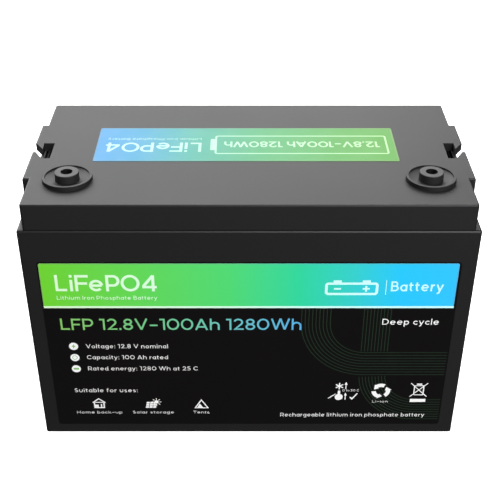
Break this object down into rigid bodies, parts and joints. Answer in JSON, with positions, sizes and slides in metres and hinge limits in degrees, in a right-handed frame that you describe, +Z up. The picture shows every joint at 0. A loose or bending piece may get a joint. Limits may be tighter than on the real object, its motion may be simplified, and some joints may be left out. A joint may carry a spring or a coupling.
{
  "type": "deep cycle battery",
  "caption": "Sealed lithium iron phosphate battery in a black box case, with ringed bolt-down terminals, hooked strap slots at both ends and printed labels.",
  "frame": {"origin": "middle of the case's flat underside", "axes": "+X along the case, to the right as seen from the label side; +Y from the label side to the rear; +Z up"},
  "size_m": [0.33, 0.171, 0.217],
  "materials": {
    "case_plastic": "fine-grained black moulded ABS",
    "lid_plastic": "fine-grained black moulded ABS, satin",
    "front_label_film": "printed polyester film: near-black, with a green to blue band along its top",
    "top_label_film": "printed polyester film, blue to green",
    "post_metal": "black-finished brass, satin",
    "rubber": "matt black",
    "steel": "zinc plated",
    "black_foam": "closed-cell foam",
    "grey_foam": "closed-cell foam",
    "cell_sleeve": "blue film over an aluminium can",
    "epoxy_board": "glass-epoxy sheet",
    "aluminium": "mill finish",
    "tinned_copper": "tin plated",
    "black_part": "moulded",
    "circuit_board": "green solder mask",
    "white_plastic": "moulded nylon",
    "red_cable": "silicone insulation",
    "black_cable": "silicone insulation"
  },
  "bodies": {
    "root": {"case_tub": "case_plastic", "lid": "lid_plastic", "front_label": "front_label_film", "top_label": "top_label_film", "terminal_post_left": "post_metal", "terminal_post_right": "post_metal", "lid_seal": "rubber", "terminal_o_ring_left": "rubber", "terminal_o_ring_right": "rubber", "terminal_washer_left": "steel", "terminal_washer_right": "steel", "clamp_nut_left": "steel", "clamp_nut_right": "steel", "lug_nut_left": "steel", "lug_nut_right": "steel", "base_pad": "black_foam", "cell_1": "cell_sleeve", "cell_2": "cell_sleeve", "cell_3": "cell_sleeve", "cell_4": "cell_sleeve", "cell_separator_1": "epoxy_board", "cell_separator_2": "epoxy_board", "cell_separator_3": "epoxy_board", "end_plate_left": "aluminium", "end_plate_right": "aluminium", "pack_strap_lower": "steel", "pack_strap_upper": "steel", "busbar_1": "tinned_copper", "busbar_2": "tinned_copper", "busbar_3": "tinned_copper", "cell_nut_1_front": "steel", "cell_nut_1_rear": "steel", "cell_nut_2_front": "steel", "cell_nut_2_rear": "steel", "cell_nut_3_front": "steel", "cell_nut_3_rear": "steel", "cell_nut_4_front": "steel", "cell_nut_4_rear": "steel", "foam_block_left": "grey_foam", "foam_block_right": "grey_foam", "board_rest_front": "black_foam", "board_rest_rear": "black_foam", "insulating_board": "epoxy_board", "bms_heat_plate": "aluminium", "bms_transistor_bank": "black_part", "bms_spacer_left": "black_part", "bms_spacer_right": "black_part", "bms_circuit_board": "circuit_board", "bms_sense_socket": "white_plastic", "bms_block_cell_side": "tinned_copper", "bms_block_output_side": "tinned_copper", "ring_lug_pack_plus": "tinned_copper", "ring_lug_pack_minus": "tinned_copper", "ring_lug_left_post": "tinned_copper", "ring_lug_right_post": "tinned_copper", "cable_cell_to_left_terminal": "red_cable", "cable_cell_to_bms": "black_cable", "cable_bms_to_right_terminal": "black_cable", "sense_harness": "black_part", "temperature_probe": "black_part"}
  },
  "joints": []
}
